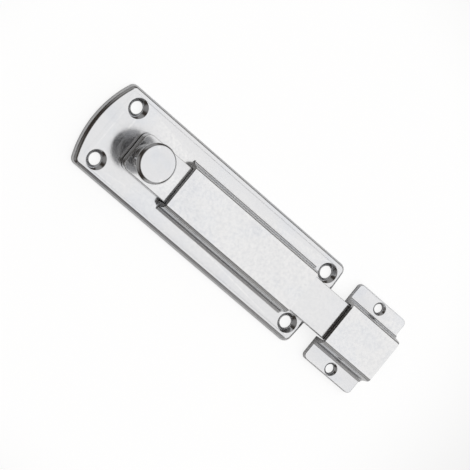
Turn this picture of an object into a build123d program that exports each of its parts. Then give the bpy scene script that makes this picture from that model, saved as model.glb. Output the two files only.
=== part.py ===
# Straight barrel bolt for a door or gate: a flat bolt bar slides in a raised
# cover on a backplate and enters a separate keep on the frame. Millimetres.
# Origin: middle of the four backplate screws, on the mounting plane (z = 0).
# +X is the way the bolt is thrown, +Z points away from the door.
import os

from build123d import *

os.makedirs("parts", exist_ok=True)

# Backplate
plate_length = 102.0
plate_width = 32.0
plate_thickness = 2.4
plate_round = 2.0            # radius of its top edge
knob_end_rise = 3.7          # how far the arc at the knob end stands out
knob_end_corner = 2.3
bolt_end_rise = 0.7
bolt_end_corner = 2.5
screw_spacing_x = 87.0
screw_spacing_y = 21.0
screw_margin = 9.5           # from the crown of the knob end to the first screws
screw_hole_radius = 2.15
screw_sink_radius = 3.45

# Bolt bar
bar_width = 14.0
bar_thickness = 3.2
bar_edge = 0.3               # bevel along its top and bottom edges
bar_end_corner = 2.5         # corners in plan at the knob end
bar_tip_corner = 1.2
back_travel = 15.0           # draws the tip back level with the backplate

# Running clearances of the bar
bar_lift = 0.3               # above the backplate
bar_side = 0.25              # to each wall of the cover
bar_head = 0.3               # under the roofs of the cover and the keep

# Raised section of the guide cover and the keep, measured out from the
# cover's channel: a flat roof, a round shoulder, a steep wall and a cove
roof_thickness = 2.0
roof_flat = -0.5
shoulder_out = 1.15
shoulder_drop = 1.33
cove_out = 1.75
cove_height = 1.2
foot_out = 2.75
foot_height = 0.45           # of the thin edge where the cove ends
end_bevel = 0.3

# Guide cover, which stands on the backplate
cover_length = 56.2
cover_start = 35.5           # from the crown of the knob end to the cover

# Pegs that hold the cover, with their heads sunk in the backplate's back
peg_radius = 0.7
peg_head_radius = 1.35
peg_depth = 1.0              # into the foot of the cover
peg_wall = 0.3               # metal between a peg and the bar's channel
peg_spacing_x = 46.0

# Knob
knob_start = 21.0            # from the crown of the knob end to the knob's middle
knob_from_end = 5.0          # from the end of the bar to the knob's middle
knob_height = 11.0           # above the bar
knob_head_radius = 6.7
knob_face_radius = 4.85      # of its flat part
knob_face_drop = 0.93        # height of the curve around the flat part
knob_rim = 0.5
knob_flare = 2.6             # height of the curve from the neck to the rim
knob_neck_radius = 3.4
knob_cone = 2.0              # height of the cone from the base to the neck
knob_base_radius = 4.4
knob_base_height = 1.0

# Screw that holds the knob, from under the bar
knob_screw_radius = 1.5
knob_screw_head_radius = 2.8
knob_screw_depth = 5.8       # into the knob
knob_screw_sunk = 0.1
knob_screw_slot = 0.6        # width and depth of the driver slot
knob_screw_clear = 0.1

# Friction spring, in a pocket in the underside of the bar
spring_x = 0.0
spring_length = 24.0
spring_width = 6.0
spring_thickness = 0.35
spring_clear = 0.05          # to the backplate and to the pocket's roof
pocket_depth = 1.4
pocket_end = 1.0             # from each end of the spring to the pocket's wall
pocket_side = 0.3

# Stop pin in the backplate, in a slot in the underside of the bar
stop_x = 27.0
stop_radius = 1.5
stop_height = 1.35           # above the backplate
stop_head_radius = 2.2
stop_head_height = 0.7
stop_bevel = 0.2
slot_depth = 1.6
slot_side = 0.3
slot_back_clear = 0.05
slot_front_clear = 1.0       # so the knob meets the cover first

# Keep, which is screwed to the frame
keep_gap = 6.7               # from the backplate to the keep
keep_length = 21.7
keep_width = 31.0
keep_flange = 2.0
keep_edge = 0.2
keep_corner = 1.6
keep_side = 0.35             # to each side of the bar
keep_screw_spacing = 25.6
keep_hole_radius = 1.6
keep_sink_radius = 2.3

# Places that follow from the sizes above
plate_left = -screw_spacing_x / 2 - screw_margin
plate_right = plate_left + plate_length
knob_x = plate_left + knob_start
bar_left = knob_x - knob_from_end
bar_right = plate_right + back_travel
bar_bottom = plate_thickness + bar_lift
bar_top = bar_bottom + bar_thickness
roof_under = bar_top + bar_head
roof_top = roof_under + roof_thickness
cover_left = plate_left + cover_start
cover_x = cover_left + cover_length / 2
front_travel = cover_left - knob_x - knob_base_radius
keep_left = plate_right + keep_gap
keep_x = keep_left + keep_length / 2
channel = bar_width / 2 + bar_side
peg_y = channel + peg_wall + peg_radius


def raised_section(base, bottom):
    # Face across the raised section, standing on base and closed at bottom.
    shoulder = (channel + shoulder_out, roof_top - shoulder_drop)
    cove = (channel + cove_out, base + foot_height + cove_height)
    foot = (channel + foot_out, base + foot_height)
    with BuildSketch() as section:
        with BuildLine():
            Line((0, roof_top), (channel + roof_flat, roof_top))
            TangentArc((channel + roof_flat, roof_top), shoulder, tangent=(1, 0))
            wall = Line(shoulder, cove)
            TangentArc(cove, foot, tangent=wall % 1)
            Polyline(foot, (channel + foot_out, bottom), (0, bottom))
            mirror(about=Plane.YZ)
        make_face()
    return section.sketch_local


# Backplate: arced ends, rounded top edge and countersunk screw holes. The
# peg holes and the stop pin's hole are sunk from behind.
with BuildPart() as backplate:
    with BuildSketch():
        with BuildLine():
            half_width = plate_width / 2
            left = plate_left + knob_end_rise
            right = plate_right - bolt_end_rise
            Line((left, half_width), (right, half_width))
            ThreePointArc((right, half_width), (plate_right, 0), (right, -half_width))
            Line((right, -half_width), (left, -half_width))
            ThreePointArc((left, -half_width), (plate_left, 0), (left, half_width))
        make_face()
        fillet(vertices().group_by(Axis.X)[0], knob_end_corner)
        fillet(vertices().group_by(Axis.X)[-1], bolt_end_corner)
    extrude(amount=plate_thickness)
    fillet(faces().sort_by(Axis.Z)[-1].edges(), plate_round)
    with Locations((0, 0, plate_thickness)):
        with GridLocations(screw_spacing_x, screw_spacing_y, 2, 2):
            CounterSinkHole(screw_hole_radius, screw_sink_radius, counter_sink_angle=90)
    with Locations(Location((cover_x, 0, 0), (180, 0, 0))):
        with GridLocations(peg_spacing_x, 2 * peg_y, 2, 2):
            CounterSinkHole(peg_radius, peg_head_radius, counter_sink_angle=90)
    with Locations(Location((stop_x, 0, 0), (180, 0, 0))):
        CounterBoreHole(stop_radius, stop_head_radius, stop_head_height)

# Guide cover: the raised section over a square channel.
with BuildPart() as guide_cover:
    with BuildSketch(Plane.YZ.offset(cover_left)):
        add(raised_section(plate_thickness, plate_thickness))
    extrude(amount=cover_length)
    ends = faces().filter_by(Axis.X).edges()
    chamfer(ends.filter_by(lambda edge: edge.center().Z > plate_thickness), end_bevel)
    with BuildSketch(Plane.YZ.offset(cover_left)):
        with Locations((0, plate_thickness)):
            Rectangle(
                2 * channel, roof_under - plate_thickness,
                align=(Align.CENTER, Align.MIN),
            )
    extrude(amount=cover_length, mode=Mode.SUBTRACT)
    with Locations(Location((cover_x, 0, plate_thickness), (180, 0, 0))):
        with GridLocations(peg_spacing_x, 2 * peg_y, 2, 2):
            Hole(peg_radius, depth=peg_depth)

# Cover pegs: a shank and a sunk head under each corner of the cover.
with BuildPart() as cover_pegs:
    with Locations((cover_x, 0, 0)):
        with GridLocations(peg_spacing_x, 2 * peg_y, 2, 2):
            base = (Align.CENTER, Align.CENTER, Align.MIN)
            Cylinder(peg_radius, plate_thickness + peg_depth, align=base)
            Cone(peg_head_radius, peg_radius, peg_head_radius - peg_radius, align=base)

# Stop pin: a bevelled shank with a head let into the backplate's back.
with BuildPart() as stop_pin:
    with BuildSketch(Plane((stop_x, 0, 0), x_dir=(1, 0, 0), z_dir=(0, -1, 0))):
        with BuildLine():
            stop_top = plate_thickness + stop_height
            Polyline(
                (0, 0),
                (stop_head_radius, 0),
                (stop_head_radius, stop_head_height),
                (stop_radius, stop_head_height),
                (stop_radius, stop_top - stop_bevel),
                (stop_radius - stop_bevel, stop_top),
                (0, stop_top),
                close=True,
            )
        make_face()
    revolve(axis=Axis((stop_x, 0, 0), (0, 0, 1)))

# Bolt bar: flat bar with the knob screw's hole, the spring's pocket and the
# stop pin's slot in its underside.
with BuildPart() as bolt_bar:
    with BuildSketch(Plane.XY.offset(bar_bottom)):
        with Locations((bar_left, 0)):
            Rectangle(bar_right - bar_left, bar_width, align=(Align.MIN, Align.CENTER))
        fillet(vertices().group_by(Axis.X)[0], bar_end_corner)
        fillet(vertices().group_by(Axis.X)[-1], bar_tip_corner)
    extrude(amount=bar_thickness)
    chamfer(faces().filter_by(Axis.Z).edges(), bar_edge)
    with Locations(Location((knob_x, 0, bar_bottom), (180, 0, 0))):
        CounterSinkHole(
            knob_screw_radius + knob_screw_clear,
            knob_screw_head_radius + knob_screw_sunk,
            counter_sink_angle=90,
        )
    with BuildSketch(Plane.XY.offset(bar_bottom)):
        with Locations((spring_x, 0)):
            Rectangle(spring_length + 2 * pocket_end, spring_width + 2 * pocket_side)
    extrude(amount=pocket_depth, mode=Mode.SUBTRACT)
    with BuildSketch(Plane.XY.offset(bar_bottom)):
        slot_left = stop_x - stop_radius - front_travel - slot_front_clear
        slot_right = stop_x + stop_radius + back_travel + slot_back_clear
        with Locations(((slot_left + slot_right) / 2, 0)):
            SlotOverall(slot_right - slot_left, 2 * (stop_radius + slot_side))
    extrude(amount=slot_depth, mode=Mode.SUBTRACT)

# Knob: turned in one piece, with a base, a neck and a flat head.
with BuildPart() as knob:
    with BuildSketch(Plane((knob_x, 0, bar_top), x_dir=(1, 0, 0), z_dir=(0, -1, 0))):
        with BuildLine():
            face = (knob_face_radius, knob_height)
            rim_top = (knob_head_radius, knob_height - knob_face_drop)
            rim_under = (knob_head_radius, knob_height - knob_face_drop - knob_rim)
            neck_top = (knob_neck_radius, rim_under[1] - knob_flare)
            Polyline(
                (0, 0),
                (knob_base_radius, 0),
                (knob_base_radius, knob_base_height),
                (knob_neck_radius, knob_base_height + knob_cone),
                neck_top,
            )
            TangentArc(neck_top, rim_under, tangent=(0, 1))
            Line(rim_under, rim_top)
            TangentArc(face, rim_top, tangent=(1, 0))
            Polyline(face, (0, knob_height), (0, 0))
        make_face()
    revolve(axis=Axis((knob_x, 0, 0), (0, 0, 1)))
    with Locations(Location((knob_x, 0, bar_top), (180, 0, 0))):
        Hole(knob_screw_radius, depth=knob_screw_depth)

# Knob screw: sunk in the underside of the bar, with a straight driver slot.
with BuildPart() as knob_screw:
    head_face = bar_bottom + knob_screw_sunk
    with Locations((knob_x, 0, head_face)):
        base = (Align.CENTER, Align.CENTER, Align.MIN)
        Cylinder(knob_screw_radius, bar_top + knob_screw_depth - head_face, align=base)
        Cone(
            knob_screw_head_radius, knob_screw_radius,
            knob_screw_head_radius - knob_screw_radius, align=base,
        )
        Box(
            knob_screw_slot, 2 * knob_screw_head_radius, knob_screw_slot,
            align=base, mode=Mode.SUBTRACT,
        )

# Friction spring: a strip bowed down from its two ends to the backplate.
with BuildPart() as friction_spring:
    with BuildSketch(Plane.XZ.offset(-spring_width / 2)):
        with BuildLine():
            end_top = bar_bottom + pocket_depth - spring_clear
            bow_top = plate_thickness + spring_clear + spring_thickness
            first, last = spring_x - spring_length / 2, spring_x + spring_length / 2
            upper = ThreePointArc((first, end_top), (spring_x, bow_top), (last, end_top))
            lower = ThreePointArc(
                (first, end_top - spring_thickness),
                (spring_x, bow_top - spring_thickness),
                (last, end_top - spring_thickness),
            )
            Line(upper @ 0, lower @ 0)
            Line(upper @ 1, lower @ 1)
        make_face()
    extrude(amount=spring_width)

# Keep: a staple with a screw flange on each side, open at both ends.
with BuildPart() as keep:
    with BuildSketch(Plane.YZ.offset(keep_left)):
        add(raised_section(keep_flange, 0))
    extrude(amount=keep_length)
    ends = faces().filter_by(Axis.X).edges()
    chamfer(ends.filter_by(lambda edge: edge.center().Z > keep_flange / 2), end_bevel)
    with BuildSketch() as flange_outline:
        with Locations((keep_x, 0)):
            Rectangle(keep_length, keep_width)
        fillet(vertices(), keep_corner)
    extrude(amount=keep_flange - keep_edge)
    with BuildSketch(Plane.XY.offset(keep_flange - keep_edge)):
        add(flange_outline.sketch)
    extrude(amount=keep_edge, taper=45)
    with BuildSketch(Plane.YZ.offset(keep_left)):
        Rectangle(
            bar_width + 2 * keep_side, roof_under, align=(Align.CENTER, Align.MIN)
        )
    extrude(amount=keep_length, mode=Mode.SUBTRACT)
    with Locations((keep_x, 0, keep_flange)):
        with GridLocations(1, keep_screw_spacing, 1, 2):
            CounterSinkHole(keep_hole_radius, keep_sink_radius, counter_sink_angle=90)

pieces = {
    "backplate": backplate,
    "guide_cover": guide_cover,
    "cover_pegs": cover_pegs,
    "stop_pin": stop_pin,
    "bolt_bar": bolt_bar,
    "knob": knob,
    "knob_screw": knob_screw,
    "friction_spring": friction_spring,
    "keep": keep,
}
for name, piece in pieces.items():
    piece.part.label = name
    export_step(piece.part, f"parts/{name}.step")
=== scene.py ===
# Straight barrel bolt and its keep in bright chrome, lying on a pale studio floor.
from math import cos, degrees, radians, sin, sqrt, tan
import bmesh
import bpy
from mathutils import Matrix, Vector


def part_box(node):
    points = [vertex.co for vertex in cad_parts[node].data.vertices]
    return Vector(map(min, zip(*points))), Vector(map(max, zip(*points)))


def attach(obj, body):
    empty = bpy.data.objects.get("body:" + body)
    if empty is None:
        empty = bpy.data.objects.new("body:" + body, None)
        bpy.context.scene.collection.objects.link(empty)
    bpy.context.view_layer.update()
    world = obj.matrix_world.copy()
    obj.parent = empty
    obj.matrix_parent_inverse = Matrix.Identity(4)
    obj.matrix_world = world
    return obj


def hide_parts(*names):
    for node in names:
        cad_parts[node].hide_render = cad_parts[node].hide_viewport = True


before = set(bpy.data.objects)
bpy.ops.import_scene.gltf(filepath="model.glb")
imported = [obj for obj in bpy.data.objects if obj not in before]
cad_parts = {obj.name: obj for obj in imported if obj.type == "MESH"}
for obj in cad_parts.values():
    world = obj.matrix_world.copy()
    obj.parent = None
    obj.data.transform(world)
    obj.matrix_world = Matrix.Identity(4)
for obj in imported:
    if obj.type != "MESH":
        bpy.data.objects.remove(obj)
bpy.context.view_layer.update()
mm = 0.001
near = 0.02 * mm     # two places closer than this are the same
through = 4 * mm     # a hole this deep goes right through a plate
flatUp = 0.9         # a face whose normal has more Z than this faces up
print("frame loaded with", len(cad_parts), "CAD nodes")


# selecting, adding and finishing a piece
def selectOnly(piece=None):
    for thing in list(bpy.context.selected_objects):
        thing.select_set(False)
    if piece:
        piece.select_set(True)
        bpy.context.view_layer.objects.active = piece


def takeNew(name):  # names a new primitive and puts its place into its mesh
    piece = bpy.context.object
    piece.name = piece.data.name = name
    bpy.ops.object.transform_apply(location=True, rotation=True, scale=True)
    return piece


def addBox(name, low, high):
    selectOnly()
    middle = [(a + b) / 2 for a, b in zip(low, high)]
    size = [b - a for a, b in zip(low, high)]
    bpy.ops.mesh.primitive_cube_add(size=1, location=middle, scale=size)
    return takeNew(name)


def addRod(name, place, radius, low, high, steps=64):
    selectOnly()
    bpy.ops.mesh.primitive_cylinder_add(vertices=steps, radius=radius, depth=high - low,
                                        location=(place[0], place[1], (low + high) / 2))
    return takeNew(name)


def pick(piece, kind, test):  # edit mode, with what passes the test selected
    if piece.mode != "EDIT":
        selectOnly(piece)
        bpy.ops.object.mode_set(mode="EDIT")
    bpy.ops.mesh.select_mode(type=kind)
    bpy.ops.mesh.select_all(action="DESELECT")
    mesh = bmesh.from_edit_mesh(piece.data)
    for part in {"VERT": mesh.verts, "EDGE": mesh.edges, "FACE": mesh.faces}[kind]:
        if test(part):
            part.select_set(True)
    bmesh.update_edit_mesh(piece.data)


def leaveEdit():
    bpy.ops.object.mode_set(mode="OBJECT")


def isUpright(edge):
    first, last = (vertex.co for vertex in edge.verts)
    return abs(first.x - last.x) < near and abs(first.y - last.y) < near


def roundEdges(piece, test, radius, opening=90, steps=8):
    # rounds the chosen edges; opening is the angle inside the metal, in degrees
    pick(piece, "EDGE", test)
    bpy.ops.mesh.bevel(offset=radius / tan(radians(opening / 2)), segments=steps,
                       affect="EDGES", clamp_overlap=False)
    leaveEdit()


def applyModifier(piece, kind, **settings):
    selectOnly(piece)
    modifier = piece.modifiers.new(kind.lower(), kind)
    for name, value in settings.items():
        setattr(modifier, name, value)
    bpy.ops.object.modifier_apply(modifier=modifier.name)


def combine(piece, tool, how="DIFFERENCE"):  # the tool is used up
    applyModifier(piece, "BOOLEAN", operation=how, object=tool, solver="EXACT")
    bpy.data.objects.remove(tool)


def mergeDoubles(piece):
    pick(piece, "VERT", lambda vertex: True)
    bpy.ops.mesh.remove_doubles(threshold=0.003 * mm)
    bpy.ops.mesh.normals_make_consistent(inside=False)
    leaveEdit()


def breakEdges(piece, width, steps=3, angle=28):  # polishing leaves no edge sharp
    mergeDoubles(piece)
    applyModifier(piece, "BEVEL", width=width, segments=steps, limit_method="ANGLE",
                  angle_limit=radians(angle), use_clamp_overlap=False)


def shadeSmooth(piece, angle=33):
    selectOnly(piece)
    bpy.ops.object.shade_smooth_by_angle(angle=radians(angle))
    applyModifier(piece, "WEIGHTED_NORMAL", keep_sharp=True, weight=100)


def sinkTool(place, surface, hole, sink, depth=through, facing=1, steps=64):
    # cuts a hole that opens at 45 degrees to the surface it is sunk in
    over = 0.4 * mm
    inner = surface - facing * (sink - hole)
    outer = surface - facing * depth
    tool = addRod("tool", place, hole, min(inner, outer), max(inner, outer), steps)
    pick(tool, "FACE", lambda face: face.normal.z * facing > flatUp)
    bpy.ops.mesh.extrude_region_move(
        TRANSFORM_OT_translate={"value": (0, 0, facing * (sink - hole + over))})
    grow = (sink + over) / hole
    bpy.ops.transform.resize(value=(grow, grow, 1), center_override=(*place, surface))
    leaveEdit()
    return tool


def settle(piece, node, body, material):
    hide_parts(node)
    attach(piece, body)
    piece.data.materials.append(material)


# adding nodes, and the node groups that the metals share
def addNode(tree, kind, **settings):
    node = tree.nodes.new(kind)
    for name, value in settings.items():
        if name in node.bl_rna.properties and name not in node.inputs:
            setattr(node, name, value)
        else:
            node.inputs[name].default_value = value
    return node


def link(tree, source, target):
    tree.links.new(source, target)


def doMath(tree, operation, first, second=0.0, third=0.0, clamp=False):
    node = tree.nodes.new("ShaderNodeMath")
    node.operation = operation
    node.use_clamp = clamp
    for socket, value in zip(node.inputs, (first, second, third)):
        if isinstance(value, (int, float)):
            socket.default_value = value
        else:
            link(tree, value, socket)
    return node.outputs[0]


def mixColours(tree, factor, first, second):
    node = tree.nodes.new("ShaderNodeMix")
    node.data_type = "RGBA"
    for socket, value in zip((node.inputs[0], node.inputs[6], node.inputs[7]),
                             (factor, first, second)):
        if isinstance(value, (int, float, tuple)):
            socket.default_value = value
        else:
            link(tree, value, socket)
    return node.outputs[2]


def spread(tree, value, fromLow, fromHigh, toLow=0.0, toHigh=1.0, smoothly=False):
    node = tree.nodes.new("ShaderNodeMapRange")
    node.interpolation_type = "SMOOTHSTEP" if smoothly else "LINEAR"
    link(tree, value, node.inputs[0])
    for socket, number in zip(node.inputs[1:5], (fromLow, fromHigh, toLow, toHigh)):
        if isinstance(number, (int, float)):
            socket.default_value = number
        else:
            link(tree, number, socket)
    return node.outputs[0]


def newGroup(name, inputs, outputs):
    # inputs: name and starting value; a vector has no value of its own
    group = bpy.data.node_groups.new(name, "ShaderNodeTree")
    for label, value in inputs.items():
        kind = "NodeSocketVector" if value is None else "NodeSocketFloat"
        socket = group.interface.new_socket(label, in_out="INPUT", socket_type=kind)
        if value is not None:
            socket.default_value = value
    for label in outputs:
        group.interface.new_socket(label, in_out="OUTPUT", socket_type="NodeSocketFloat")
    return group, group.nodes.new("NodeGroupInput").outputs, \
        group.nodes.new("NodeGroupOutput").inputs


def makePolishMarks():
    # fine lines that a buffing wheel leaves, all running one way with a little wander
    group, given, made = newGroup("polishMarks",
        {"Vector": None, "Turn": 0.0, "Fineness": 2600.0, "Stretch": 0.02, "Wander": 0.0006},
        ("Height", "Bands"))
    sway = addNode(group, "ShaderNodeTexNoise", Scale=60.0, Detail=2.0)
    link(group, given["Vector"], sway.inputs["Vector"])
    swing = addNode(group, "ShaderNodeVectorMath", operation="SCALE")
    link(group, sway.outputs["Color"], swing.inputs[0])
    link(group, given["Wander"], swing.inputs["Scale"])
    swayed = addNode(group, "ShaderNodeVectorMath", operation="ADD")
    link(group, given["Vector"], swayed.inputs[0])
    link(group, swing.outputs[0], swayed.inputs[1])
    turned = addNode(group, "ShaderNodeVectorRotate", rotation_type="Z_AXIS")
    link(group, swayed.outputs[0], turned.inputs["Vector"])
    link(group, given["Turn"], turned.inputs["Angle"])
    parts = addNode(group, "ShaderNodeSeparateXYZ")
    link(group, turned.outputs[0], parts.inputs[0])
    drawn = addNode(group, "ShaderNodeCombineXYZ")
    link(group, doMath(group, "MULTIPLY", parts.outputs[0], given["Stretch"]), drawn.inputs[0])
    link(group, parts.outputs[1], drawn.inputs[1])
    link(group, parts.outputs[2], drawn.inputs[2])
    lines = addNode(group, "ShaderNodeTexNoise", Detail=3.0, Roughness=0.62)
    link(group, drawn.outputs[0], lines.inputs["Vector"])
    link(group, given["Fineness"], lines.inputs["Scale"])
    bands = addNode(group, "ShaderNodeTexNoise", Detail=2.0, Roughness=0.5)
    link(group, drawn.outputs[0], bands.inputs["Vector"])
    link(group, doMath(group, "MULTIPLY", given["Fineness"], 0.09), bands.inputs["Scale"])
    link(group, lines.outputs["Fac"], made["Height"])
    link(group, spread(group, bands.outputs["Fac"], 0.32, 0.68, smoothly=True), made["Bands"])
    return group


def makeHaze():
    # soft patches where the polish is duller, with a few wiped smears in them
    group, given, made = newGroup("handlingHaze",
        {"Vector": None, "Size": 110.0, "Cover": 0.5}, ("Mask", "Smears"))
    patches = addNode(group, "ShaderNodeTexNoise", Detail=4.0, Roughness=0.55, Distortion=0.6)
    link(group, given["Vector"], patches.inputs["Vector"])
    link(group, given["Size"], patches.inputs["Scale"])
    edge = doMath(group, "SUBTRACT", 0.95, given["Cover"])
    mask = spread(group, patches.outputs["Fac"], doMath(group, "SUBTRACT", edge, 0.13),
                  doMath(group, "ADD", edge, 0.13), smoothly=True)
    smears = addNode(group, "ShaderNodeTexNoise", Detail=5.0, Roughness=0.7, Distortion=1.6)
    link(group, given["Vector"], smears.inputs["Vector"])
    link(group, doMath(group, "MULTIPLY", given["Size"], 4.2), smears.inputs["Scale"])
    link(group, mask, made["Mask"])
    link(group, doMath(group, "MULTIPLY", mask,
                       spread(group, smears.outputs["Fac"], 0.38, 0.66)), made["Smears"])
    return group


def makeScratches():
    # scattered hairline scratches: thin cell borders, kept only here and there
    group, given, made = newGroup("hairScratches",
        {"Vector": None, "Turn": 0.0, "Density": 160.0, "Stretch": 0.12}, ("Mask",))
    turned = addNode(group, "ShaderNodeVectorRotate", rotation_type="Z_AXIS")
    link(group, given["Vector"], turned.inputs["Vector"])
    link(group, given["Turn"], turned.inputs["Angle"])
    parts = addNode(group, "ShaderNodeSeparateXYZ")
    link(group, turned.outputs[0], parts.inputs[0])
    drawn = addNode(group, "ShaderNodeCombineXYZ")
    link(group, doMath(group, "MULTIPLY", parts.outputs[0], given["Stretch"]), drawn.inputs[0])
    link(group, parts.outputs[1], drawn.inputs[1])
    link(group, parts.outputs[2], drawn.inputs[2])
    cells = addNode(group, "ShaderNodeTexVoronoi", feature="DISTANCE_TO_EDGE", Randomness=1.0)
    link(group, drawn.outputs[0], cells.inputs["Vector"])
    link(group, given["Density"], cells.inputs["Scale"])
    thin = spread(group, cells.outputs["Distance"], 0.0, 0.022, 1.0, 0.0, smoothly=True)
    where = addNode(group, "ShaderNodeTexNoise", Detail=2.0)
    link(group, given["Vector"], where.inputs["Vector"])
    link(group, doMath(group, "MULTIPLY", given["Density"], 1.7), where.inputs["Scale"])
    link(group, doMath(group, "MULTIPLY", thin,
                       spread(group, where.outputs["Fac"], 0.55, 0.7)), made["Mask"])
    return group


def makeEdgeWearAndHighlight():
    # bright rubbed edges, from how far the surface turns: edge wear, and a painted highlight
    # along the edges
    group, given, made = newGroup("edgeWearAndHighlight",
        {"Vector": None, "Reach": 0.04, "Patchy": 900.0}, ("Edge",))
    shape = addNode(group, "ShaderNodeNewGeometry")
    broken = addNode(group, "ShaderNodeTexNoise", Detail=3.0, Roughness=0.65)
    link(group, given["Vector"], broken.inputs["Vector"])
    link(group, given["Patchy"], broken.inputs["Scale"])
    blunt = 0.505  # Pointiness up to which a surface counts as flat
    edge = spread(group, shape.outputs["Pointiness"], blunt,
                  doMath(group, "ADD", given["Reach"], blunt))
    link(group, doMath(group, "MULTIPLY", edge,
                       spread(group, broken.outputs["Fac"], 0.3, 0.6)), made["Edge"])
    return group


def makeCreviceShade():
    # painted shade: the colour darkens where two parts meet, read from ambient occlusion, and
    # the surface is rougher there
    group, given, made = newGroup("creviceShade", {"Distance": 1.2 * mm, "Vector": None}, ("Mask",))
    hidden = addNode(group, "ShaderNodeAmbientOcclusion", samples=6)
    link(group, given["Distance"], hidden.inputs["Distance"])
    uneven = addNode(group, "ShaderNodeTexNoise", Scale=1400.0, Detail=3.0)
    link(group, given["Vector"], uneven.inputs["Vector"])
    deep = doMath(group, "SUBTRACT", 1.0, hidden.outputs["AO"], clamp=True)
    link(group, doMath(group, "MULTIPLY", spread(group, deep, 0.25, 0.85, smoothly=True),
                       spread(group, uneven.outputs["Fac"], 0.25, 0.6)), made["Mask"])
    return group


def makePlatingWave():
    # the faint orange-peel wave of plated metal
    group, given, made = newGroup("platingWave", {"Vector": None, "Scale": 420.0}, ("Height",))
    wave = addNode(group, "ShaderNodeTexNoise", Detail=1.5, Roughness=0.4)
    link(group, given["Vector"], wave.inputs["Vector"])
    link(group, given["Scale"], wave.inputs["Scale"])
    link(group, wave.outputs["Fac"], made["Height"])
    return group


polishMarks, haze, scratches = makePolishMarks(), makeHaze(), makeScratches()
edgeWearAndHighlight, creviceShade, platingWave = makeEdgeWearAndHighlight(), makeCreviceShade(), makePlatingWave()


def useGroup(tree, group, vector, **values):
    node = tree.nodes.new("ShaderNodeGroup")
    node.node_tree = group
    if "Vector" in node.inputs:
        link(tree, vector, node.inputs["Vector"])
    for name, value in values.items():
        node.inputs[name].default_value = value
    return node


def newMaterial(name, metallic=1.0):
    material = bpy.data.materials.new(name)
    material.use_nodes = True
    tree = material.node_tree
    shader = tree.nodes["Principled BSDF"]
    shader.inputs["Metallic"].default_value = metallic
    coordinates = tree.nodes.new("ShaderNodeTexCoord")
    return material, tree, shader, coordinates.outputs["Object"]


def makeMetal(name, look, centre=None):
    # one recipe for each metal; with a centre its marks run round that axis
    material, tree, shader, place = newMaterial(name)
    if centre:
        mapping = addNode(tree, "ShaderNodeMapping")
        mapping.inputs["Location"].default_value = (-centre[0], -centre[1], 0)
        link(tree, place, mapping.inputs["Vector"])
        parts = addNode(tree, "ShaderNodeSeparateXYZ")
        link(tree, mapping.outputs[0], parts.inputs[0])
        x, y = parts.outputs[0], parts.outputs[1]
        away = doMath(tree, "SQRT", doMath(tree, "ADD", doMath(tree, "MULTIPLY", x, x),
                                           doMath(tree, "MULTIPLY", y, y)))
        rings = addNode(tree, "ShaderNodeCombineXYZ")
        link(tree, doMath(tree, "MULTIPLY", doMath(tree, "ARCTAN2", y, x), look["ringLength"]),
             rings.inputs[0])
        link(tree, away, rings.inputs[1])
        link(tree, parts.outputs[2], rings.inputs[2])
        marksPlace = rings.outputs[0]
    else:
        marksPlace = place
    marks = useGroup(tree, polishMarks, marksPlace, Turn=look["turn"],
                     Fineness=look["fineness"], Stretch=look["stretch"], Wander=look["wander"])
    dull = useGroup(tree, haze, place, Size=look["hazeSize"], Cover=look["hazeCover"])
    hair = useGroup(tree, scratches, place, Turn=look["turn"] + look["scratchTurn"],
                    Density=look["scratchDensity"])
    wornAndHighlit = useGroup(tree, edgeWearAndHighlight, place, Reach=look["wearReach"])
    paintedShade = useGroup(tree, creviceShade, place, Distance=look["paintedShadeReach"])
    wave = useGroup(tree, platingWave, place)

    colour = mixColours(tree, doMath(tree, "MULTIPLY", marks.outputs["Bands"],
                                     look["bandColour"]), look["colour"], look["shade"])
    colour = mixColours(tree, doMath(tree, "MULTIPLY", dull.outputs["Mask"], look["hazeColour"]),
                        colour, look["tint"])
    # edge wear and painted highlight: convex edges are lighter
    colour = mixColours(tree, doMath(tree, "MULTIPLY", wornAndHighlit.outputs["Edge"], look["wearAndHighlight"]),
                        colour, look["rubbedAndHighlit"])
    # painted shade where parts meet: ambient occlusion darkens the colour
    colour = mixColours(tree, doMath(tree, "MULTIPLY", paintedShade.outputs["Mask"], look["paintedShade"]),
                        colour, look["paintedShadeColour"])
    link(tree, colour, shader.inputs["Base Color"])

    rough = doMath(tree, "MULTIPLY_ADD", marks.outputs["Bands"], look["bandRough"],
                   look["rough"])
    rough = doMath(tree, "MULTIPLY_ADD", dull.outputs["Mask"], look["hazeRough"], rough)
    rough = doMath(tree, "MULTIPLY_ADD", dull.outputs["Smears"], look["hazeRough"], rough)
    rough = doMath(tree, "MULTIPLY_ADD", hair.outputs["Mask"], look["scratchRough"], rough)
    rough = doMath(tree, "MULTIPLY_ADD", paintedShade.outputs["Mask"], look["paintedShadeRough"], rough)
    link(tree, rough, shader.inputs["Roughness"])

    height = doMath(tree, "MULTIPLY", marks.outputs["Height"], look["markDepth"])
    height = doMath(tree, "MULTIPLY_ADD", wave.outputs["Height"], look["waveDepth"], height)
    height = doMath(tree, "MULTIPLY_ADD", hair.outputs["Mask"], -look["scratchDepth"], height)
    bump = addNode(tree, "ShaderNodeBump", Strength=1.0, Distance=1.0)
    link(tree, height, bump.inputs["Height"])
    link(tree, bump.outputs[0], shader.inputs["Normal"])
    return material


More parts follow.
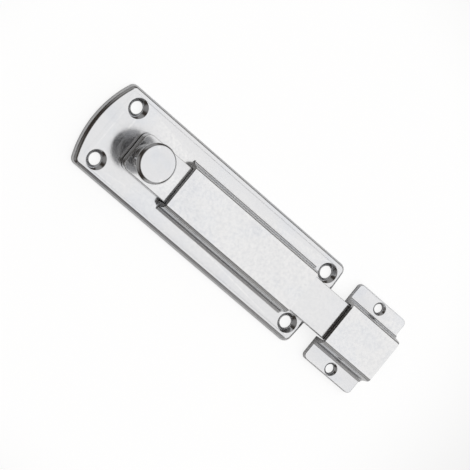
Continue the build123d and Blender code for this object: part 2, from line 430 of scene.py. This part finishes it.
# depths and distances in metres, turns in radians
chromeLook = {
    "colour": (0.515, 0.525, 0.545, 1), "shade": (0.475, 0.487, 0.512, 1),
    "tint": (0.535, 0.535, 0.54, 1), "rubbedAndHighlit": (0.68, 0.675, 0.66, 1),
    "paintedShadeColour": (0.10, 0.088, 0.075, 1),
    "rough": 0.105, "bandRough": 0.03, "hazeRough": 0.03, "scratchRough": 0.12,
    # edge wear and painted highlight: its strength and reach
    "bandColour": 0.6, "hazeColour": 0.7, "wearAndHighlight": 0.45, "wearReach": 0.05,
    # painted shade where parts meet: how dark, how far it reaches, how much rougher
    "paintedShade": 0.55, "paintedShadeReach": 1.1 * mm, "paintedShadeRough": 0.18,
    "turn": 0.0, "fineness": 2600.0, "stretch": 0.02, "wander": 0.0006,
    "markDepth": 0.0000005, "waveDepth": 0.0000006, "scratchDepth": 0.0000008,
    "scratchDensity": 160.0, "scratchTurn": 0.5, "hazeSize": 70.0, "hazeCover": 0.5,
    "ringLength": 0.02,  # of the marks that run round a centre
}
chrome = makeMetal("chromeLengthwise", chromeLook)
chromeCover = makeMetal("chromeCover", {**chromeLook, "turn": 0.62, "fineness": 2200.0,
                                        "bandColour": 0.9})
chromeKeep = makeMetal("chromeKeep", {**chromeLook, "turn": 0.25, "hazeSize": 90.0})
print("materials ready")


# backplate: arced ends, countersunk screw holes, and the holes sunk from behind
plate = {
    "topRound": 2.0 * mm, "edge": 0.08 * mm,
    "knobEndRise": 3.7 * mm, "knobEndCorner": 2.3 * mm,
    "boltEndRise": 0.7 * mm, "boltEndCorner": 2.5 * mm,
    "screwSpacing": (87 * mm, 21 * mm), "screwHole": 2.15 * mm, "screwSink": 3.45 * mm,
    "pegX": 23 * mm, "pegY": 8.25 * mm, "pegHole": 0.7 * mm, "pegSink": 1.35 * mm,
    "pegSteps": 32,
    "stopX": 27 * mm, "stopHole": 1.5 * mm, "stopSink": 2.2 * mm, "stopSinkDepth": 0.7 * mm,
}
plateLow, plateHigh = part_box("backplate")
coverLow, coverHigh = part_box("guide_cover")
coverX = (coverLow.x + coverHigh.x) / 2


def bowEnd(piece, endX, crownX, half, cuts):
    # divides an end and pushes its points out onto an arc; returns the corner's angle
    rise = abs(crownX - endX)
    radius = (half ** 2 + rise ** 2) / (2 * rise)
    pick(piece, "EDGE", lambda edge: not isUpright(edge)
         and all(abs(vertex.co.x - endX) < near for vertex in edge.verts))
    bpy.ops.mesh.subdivide(number_cuts=cuts)
    for row in range(1, cuts + 1):
        y = -half + row * 2 * half / (cuts + 1)
        pick(piece, "VERT", lambda vertex: abs(vertex.co.x - endX) < near
             and abs(vertex.co.y - y) < near)
        push = sqrt(radius ** 2 - y ** 2) - (radius - rise)
        bpy.ops.transform.translate(value=(push * (1 if crownX > endX else -1), 0, 0))
    leaveEdit()
    firstY = half - half * 2 / (cuts + 1)
    run = sqrt(radius ** 2 - firstY ** 2) - (radius - rise)
    return 90 + degrees(Vector((half - firstY, run)).angle(Vector((1, 0))))


def makeBackplate():
    half = plateHigh.y
    left, right = plateLow.x + plate["knobEndRise"], plateHigh.x - plate["boltEndRise"]
    piece = addBox("backplateBody", (left, -half, 0), (right, half, plateHigh.z))
    leftAngle = bowEnd(piece, left, plateLow.x, half, 23)
    rightAngle = bowEnd(piece, right, plateHigh.x, half, 7)
    roundEdges(piece, lambda edge: isUpright(edge) and abs(edge.verts[0].co.x - left) < near
               and abs(edge.verts[0].co.y) > half - near,
               plate["knobEndCorner"], leftAngle, 6)
    roundEdges(piece, lambda edge: isUpright(edge) and abs(edge.verts[0].co.x - right) < near
               and abs(edge.verts[0].co.y) > half - near,
               plate["boltEndCorner"], rightAngle, 8)
    roundEdges(piece, lambda edge: all(vertex.co.z > plateHigh.z - near
                                       for vertex in edge.verts), plate["topRound"], 90, 10)
    for sideX in (-1, 1):
        for sideY in (-1, 1):
            place = (sideX * plate["screwSpacing"][0] / 2, sideY * plate["screwSpacing"][1] / 2)
            combine(piece, sinkTool(place, plateHigh.z, plate["screwHole"],
                                    plate["screwSink"]))
            peg = (coverX + sideX * plate["pegX"], sideY * plate["pegY"])
            combine(piece, sinkTool(peg, 0, plate["pegHole"], plate["pegSink"],
                                    facing=-1, steps=plate["pegSteps"]))
    stop = (plate["stopX"], 0)
    combine(piece, addRod("tool", stop, plate["stopHole"], -mm, through, 48))
    combine(piece, addRod("tool", stop, plate["stopSink"], -mm, plate["stopSinkDepth"], 48))
    breakEdges(piece, plate["edge"])
    shadeSmooth(piece)
    settle(piece, "backplate", "plate", chrome)


makeBackplate()
print("backplate made")


def makeHat(name, low, high, section):
    # the raised section of the cover and of the keep: a thin foot, a steep wall
    # drawn up from it, then a cove and a round shoulder
    piece = addBox(name, (low[0], -section["foot"], low[2]),
                   (high[0], section["foot"], section["footZ"]))
    pick(piece, "FACE", lambda face: face.normal.z > flatUp)
    height, half = section["footZ"], section["foot"]
    for nextHalf, nextHeight in ((section["wallFoot"], section["wallFootZ"]),
                                 (section["wallTop"], high[2])):
        bpy.ops.mesh.extrude_region_move(
            TRANSFORM_OT_translate={"value": (0, 0, nextHeight - height)})
        bpy.ops.transform.resize(value=(1, nextHalf / half, 1),
                                 center_override=((low[0] + high[0]) / 2, 0, nextHeight))
        height, half = nextHeight, nextHalf
    leaveEdit()
    for level, reach, steps in ((section["wallFootZ"], section["cove"], 7),
                                (high[2], section["shoulder"], 9)):
        pick(piece, "EDGE", lambda edge: abs(edge.verts[0].co.x - edge.verts[1].co.x) > mm
             and all(abs(vertex.co.z - level) < near for vertex in edge.verts))
        bpy.ops.mesh.bevel(offset=reach, segments=steps, affect="EDGES", clamp_overlap=False)
        leaveEdit()
    mergeDoubles(piece)
    return piece


# guide cover: the raised section over the bar's channel
cover = {
    "foot": 10.0 * mm, "footZ": 2.85 * mm, "wallFoot": 9.182 * mm, "wallFootZ": 3.194 * mm,
    "wallTop": 8.117 * mm, "cove": 0.86 * mm, "shoulder": 1.365 * mm,
    "channelHalf": 7.25 * mm, "channelTop": 6.2 * mm, "pegDepth": 1.0 * mm,
    "edge": 0.12 * mm,
}


def makeCover():
    piece = makeHat("guideCover", coverLow, coverHigh, cover)
    combine(piece, addBox("tool", (coverLow.x - mm, -cover["channelHalf"], coverLow.z - mm),
                          (coverHigh.x + mm, cover["channelHalf"], cover["channelTop"])))
    for sideX in (-1, 1):
        for sideY in (-1, 1):
            peg = (coverX + sideX * plate["pegX"], sideY * plate["pegY"])
            combine(piece, addRod("tool", peg, plate["pegHole"], coverLow.z - mm,
                                  coverLow.z + cover["pegDepth"], plate["pegSteps"]))
    breakEdges(piece, cover["edge"], 2, 40)
    shadeSmooth(piece)
    settle(piece, "guide_cover", "plate", chromeCover)


makeCover()
print("guide cover made")


# keep: the raised section between two screw flanges
keep = {
    "flange": 2.0 * mm, "flangeBevel": 0.2 * mm, "corner": 1.6 * mm,
    "foot": 10.0 * mm, "footZ": 2.45 * mm, "wallFoot": 9.164 * mm, "wallFootZ": 2.770 * mm,
    "wallTop": 8.152 * mm, "cove": 0.87 * mm, "shoulder": 1.40 * mm,
    "mouthHalf": 7.35 * mm, "mouthTop": 6.2 * mm,
    "screwY": 12.8 * mm, "screwHole": 1.6 * mm, "screwSink": 2.3 * mm, "edge": 0.12 * mm,
}
keepLow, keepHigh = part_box("keep")


def makeKeep():
    piece = addBox("keepStaple", keepLow,
                   (keepHigh.x, keepHigh.y, keep["flange"] - keep["flangeBevel"]))
    roundEdges(piece, isUpright, keep["corner"], 90, 8)
    pick(piece, "FACE", lambda face: face.normal.z > flatUp)
    bpy.ops.mesh.inset(thickness=keep["flangeBevel"], depth=keep["flangeBevel"],
                       use_even_offset=True)
    leaveEdit()
    combine(piece, makeHat("tool", keepLow, keepHigh, keep), "UNION")
    combine(piece, addBox("tool", (keepLow.x - mm, -keep["mouthHalf"], -mm),
                          (keepHigh.x + mm, keep["mouthHalf"], keep["mouthTop"])))
    for side in (-1, 1):
        place = ((keepLow.x + keepHigh.x) / 2, side * keep["screwY"])
        combine(piece, sinkTool(place, keep["flange"], keep["screwHole"],
                                keep["screwSink"]))
    breakEdges(piece, keep["edge"], 2, 30)
    shadeSmooth(piece)
    settle(piece, "keep", "keep", chromeKeep)


makeKeep()
print("keep made")


# bolt bar: rounded ends, with the spring's pocket and the stop pin's slot beneath
bar = {
    "endCorner": 2.5 * mm, "tipCorner": 1.2 * mm, "edge": 0.35 * mm,
    "pocketX": 0.0, "pocketLength": 26 * mm, "pocketWidth": 6.6 * mm, "pocketDepth": 1.4 * mm,
    "slotLeft": 14.4 * mm, "slotRight": 43.55 * mm, "slotHalf": 1.8 * mm, "slotDepth": 1.6 * mm,
    "knobX": -32 * mm, "screwHole": 1.6 * mm, "screwSink": 2.9 * mm, "screwDepth": 5 * mm,
}
barLow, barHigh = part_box("bolt_bar")


def makeBar():
    piece = addBox("boltBar", barLow, barHigh)
    roundEdges(piece, lambda edge: isUpright(edge) and edge.verts[0].co.x < 0,
               bar["endCorner"], 90, 10)
    roundEdges(piece, lambda edge: isUpright(edge) and edge.verts[0].co.x > barHigh.x - near,
               bar["tipCorner"], 90, 6)
    breakEdges(piece, bar["edge"], 4)
    half = bar["pocketWidth"] / 2
    low = bar["pocketX"] - bar["pocketLength"] / 2
    combine(piece, addBox("tool", (low, -half, barLow.z - mm),
                          (low + bar["pocketLength"], half, barLow.z + bar["pocketDepth"])))
    slot = addBox("tool", (bar["slotLeft"], -bar["slotHalf"], barLow.z - mm),
                  (bar["slotRight"], bar["slotHalf"], barLow.z + bar["slotDepth"]))
    roundEdges(slot, isUpright, bar["slotHalf"], 90, 8)
    mergeDoubles(slot)
    combine(piece, slot)
    combine(piece, sinkTool((bar["knobX"], 0), barLow.z, bar["screwHole"], bar["screwSink"],
                            bar["screwDepth"], -1, 48))
    mergeDoubles(piece)
    shadeSmooth(piece)
    settle(piece, "bolt_bar", "bolt", chrome)


makeBar()
print("bolt bar made")


# knob: a turned profile drawn up ring by ring from its base
knob = {
    "height": 11.0 * mm, "headRadius": 6.7 * mm, "faceRadius": 4.85 * mm,
    "faceDrop": 0.93 * mm, "rim": 0.5 * mm, "flare": 2.6 * mm, "neckRadius": 3.4 * mm,
    "cone": 2.0 * mm, "baseRadius": 4.4 * mm, "baseHeight": 1.0 * mm, "bore": 1.5 * mm,
    "boreDepth": 5.8 * mm, "edge": 0.12 * mm, "steps": 112, "curveSteps": 10,
}


def knobProfile():
    # radius and height of each ring, from the base up to the face
    steps = knob["curveSteps"]
    rimUnder = knob["height"] - knob["faceDrop"] - knob["rim"]
    rise, out = knob["flare"], knob["headRadius"] - knob["neckRadius"]
    rings = [(knob["baseRadius"], knob["baseHeight"]),
             (knob["neckRadius"], knob["baseHeight"] + knob["cone"]),
             (knob["neckRadius"], rimUnder - rise)]
    sweep = (rise ** 2 + out ** 2) / (2 * out)  # radius of the curve under the head
    whole = 2 * Vector((rise, out)).angle(Vector((1, 0)))
    for n in range(1, steps + 1):
        turn = whole * n / steps
        rings.append((knob["neckRadius"] + sweep * (1 - cos(turn)),
                      rimUnder - rise + sweep * sin(turn)))
    rise, out = knob["faceDrop"], knob["headRadius"] - knob["faceRadius"]
    bend = (rise ** 2 + out ** 2) / (2 * rise)  # radius of the curve around the face
    whole = 2 * Vector((out, rise)).angle(Vector((1, 0)))
    for n in range(steps + 1):
        turn = whole * (1 - n / steps)
        rings.append((knob["faceRadius"] + bend * sin(turn),
                      knob["height"] - bend * (1 - cos(turn))))
    return rings


def makeKnob():
    base, centre = barHigh.z, (bar["knobX"], 0)
    selectOnly()
    bpy.ops.mesh.primitive_circle_add(vertices=knob["steps"], radius=knob["baseRadius"],
                                      fill_type="NGON", location=(*centre, base))
    piece = takeNew("knobTurned")
    radius, height = knob["baseRadius"], 0
    pick(piece, "FACE", lambda face: True)
    for nextRadius, nextHeight in knobProfile():
        bpy.ops.mesh.extrude_region_move(
            TRANSFORM_OT_translate={"value": (0, 0, nextHeight - height)})
        grow = nextRadius / radius
        bpy.ops.transform.resize(value=(grow, grow, 1), center_override=(*centre, base))
        radius, height = nextRadius, nextHeight
    leaveEdit()
    mergeDoubles(piece)
    combine(piece, addRod("tool", centre, knob["bore"], base - mm,
                          base + knob["boreDepth"], 48))
    breakEdges(piece, knob["edge"], 3, 24)
    shadeSmooth(piece, 30)
    settle(piece, "knob", "bolt", makeMetal("chromeTurned", {
        **chromeLook, "fineness": 5200.0, "stretch": 0.05, "wander": 0.0001,
        "bandColour": 0.5, "markDepth": 0.0000008}, centre))


makeKnob()
print("knob made")


# pegs, pin, screw and spring keep the CAD's own shape
brassLook = {
    **chromeLook, "colour": (0.62, 0.44, 0.19, 1), "shade": (0.52, 0.35, 0.13, 1),
    "tint": (0.45, 0.33, 0.17, 1), "rubbedAndHighlit": (0.78, 0.60, 0.32, 1), "rough": 0.24,
    "bandRough": 0.10, "hazeRough": 0.10, "hazeSize": 420.0, "markDepth": 0.000003,
}
screwLook = {
    **chromeLook, "colour": (0.50, 0.51, 0.53, 1), "shade": (0.40, 0.41, 0.45, 1),
    "tint": (0.50, 0.49, 0.43, 1), "rough": 0.27, "bandRough": 0.12, "hazeSize": 500.0,
    "markDepth": 0.000004,
}
bronzeLook = {
    **chromeLook, "colour": (0.60, 0.38, 0.22, 1), "shade": (0.50, 0.30, 0.16, 1),
    "tint": (0.42, 0.29, 0.20, 1), "rubbedAndHighlit": (0.74, 0.54, 0.36, 1), "rough": 0.26,
    "bandRough": 0.12, "hazeSize": 300.0, "fineness": 3400.0,
}


def dress(node, material):
    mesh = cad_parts[node].data
    mesh.materials.clear()
    mesh.materials.append(material)


dress("cover_pegs", makeMetal("pegBrass", brassLook))
dress("stop_pin", makeMetal("stopPinSteel", screwLook, (plate["stopX"], 0)))
dress("knob_screw", makeMetal("screwSteel", screwLook, (bar["knobX"], 0)))
dress("friction_spring", makeMetal("springBronze", bronzeLook))
print("CAD nodes dressed")


# floor, light and camera
studio = {
    "floorSize": 6.0, "floorColour": (0.93, 0.93, 0.93, 1), "floorDrop": 0.05 * mm,
    "floorGrain": (0.91605, 0.91605, 0.91605, 1), "floorRough": 0.85, "floorGloss": 0.2,
    "floorBeyondPool": (0.10, 0.095, 0.09, 1), "poolStart": 0.085, "poolEnd": 0.17,
    "whiteFloor": 0.75, "floorGlow": 1.08,
    "boxAxis": (0.50, 0.31, 0.81), "boxBright": 1.39, "boxFull": 0.70, "boxEnd": 0.585,
    "fills": (  # axis, where it ends, where it is full, brightness
        ((-0.62, -0.66, 0.42), 0.80, 0.98, 0.30),
        ((-0.64, 0.64, 0.42), 0.85, 0.96, 0.36),
        ((0.68, -0.68, 0.27), 0.86, 0.96, 0.55),
    ),
    "dark": (0.060, 0.050, 0.042), "backdrop": (0.93, 0.93, 0.93, 1),
}


def makeFloor():
    # a painted pool of light: near the bolt the floor's colour is pale, further off it is
    # painted dark; only the eye sees it pale there
    selectOnly()
    bpy.ops.mesh.primitive_plane_add(size=studio["floorSize"],
                                     location=(0, 0, -studio["floorDrop"]))
    floor = takeNew("studioFloor")
    pick(floor, "FACE", lambda face: True)
    bpy.ops.mesh.subdivide(number_cuts=3)
    leaveEdit()
    material, tree, shader, place = newMaterial("palePaper", 0.0)
    grain = addNode(tree, "ShaderNodeTexNoise", Scale=1800.0, Detail=3.0)
    link(tree, place, grain.inputs["Vector"])
    paper = mixColours(tree, grain.outputs["Fac"], studio["floorGrain"],
                       studio["floorColour"])
    away = addNode(tree, "ShaderNodeVectorMath", operation="LENGTH")
    link(tree, place, away.inputs[0])
    # painted pool of light: the floor's colour turns dark away from the bolt
    beyondPool = spread(tree, away.outputs["Value"], studio["poolStart"], studio["poolEnd"],
                 smoothly=True)
    link(tree, mixColours(tree, beyondPool, paper, studio["floorBeyondPool"]), shader.inputs["Base Color"])
    shader.inputs["Roughness"].default_value = studio["floorRough"]
    shader.inputs["Specular IOR Level"].default_value = studio["floorGloss"]
    bump = addNode(tree, "ShaderNodeBump", Strength=0.05, Distance=0.0001)
    link(tree, grain.outputs["Fac"], bump.inputs["Height"])
    link(tree, bump.outputs[0], shader.inputs["Normal"])
    glow = addNode(tree, "ShaderNodeEmission", Strength=studio["floorGlow"])
    path = tree.nodes.new("ShaderNodeLightPath")
    either = tree.nodes.new("ShaderNodeMixShader")
    link(tree, doMath(tree, "MULTIPLY", path.outputs["Is Camera Ray"], studio["whiteFloor"]),
         either.inputs[0])
    link(tree, shader.outputs[0], either.inputs[1])
    link(tree, glow.outputs[0], either.inputs[2])
    link(tree, either.outputs[0], tree.nodes["Material Output"].inputs["Surface"])
    floor.data.materials.append(material)


def lampPatch(tree, direction, axis, end, full, bright):
    # a soft-edged round patch of light in the sky
    across = addNode(tree, "ShaderNodeVectorMath", operation="DOT_PRODUCT")
    link(tree, direction, across.inputs[0])
    across.inputs[1].default_value = Vector(axis).normalized()
    return spread(tree, across.outputs["Value"], end, full, 0.0, bright, smoothly=True)


def makeWorld():
    # a wide softbox overhead and weaker fills; the backdrop is pale to the eye
    world = bpy.data.worlds.new("softDome")
    bpy.context.scene.world = world
    world.use_nodes = True
    tree = world.node_tree
    dome = tree.nodes["Background"]
    where = tree.nodes.new("ShaderNodeTexCoord").outputs["Generated"]
    lamps = lampPatch(tree, where, studio["boxAxis"], studio["boxEnd"], studio["boxFull"],
                      studio["boxBright"])
    for axis, end, full, bright in studio["fills"]:
        lamps = doMath(tree, "ADD", lamps, lampPatch(tree, where, axis, end, full, bright))
    light = addNode(tree, "ShaderNodeCombineColor")
    for socket, dark in zip(light.inputs, studio["dark"]):
        link(tree, doMath(tree, "ADD", lamps, dark), socket)
    link(tree, light.outputs[0], dome.inputs["Color"])
    back = addNode(tree, "ShaderNodeBackground")
    back.inputs["Color"].default_value = studio["backdrop"]
    path = tree.nodes.new("ShaderNodeLightPath")
    either = tree.nodes.new("ShaderNodeMixShader")
    link(tree, path.outputs["Is Camera Ray"], either.inputs[0])
    link(tree, dome.outputs[0], either.inputs[1])
    link(tree, back.outputs[0], either.inputs[2])
    link(tree, either.outputs[0], tree.nodes["World Output"].inputs["Surface"])


view = {
    "place": (-0.36767, -0.06343, 0.9137), "back": (-0.3817, -0.0643, 0.9221),
    "up": (-0.6037, 0.7727, -0.196), "lens": 234.4, "sensor": 36, "clip": 0.01,
}


def makeCamera():
    selectOnly()
    bpy.ops.object.camera_add()
    camera = bpy.context.object
    camera.name = camera.data.name = "studioCamera"
    back = Vector(view["back"]).normalized()
    right = Vector(view["up"]).cross(back).normalized()
    turn = Matrix((right, back.cross(right), back)).transposed()
    camera.matrix_world = Matrix.Translation(view["place"]) @ turn.to_4x4()
    camera.data.lens = view["lens"]
    camera.data.sensor_width = view["sensor"]
    camera.data.clip_start = view["clip"]
    bpy.context.scene.camera = camera


makeFloor()
makeWorld()
makeCamera()
bpy.context.scene.view_settings.view_transform = "Standard"
print("studio ready")
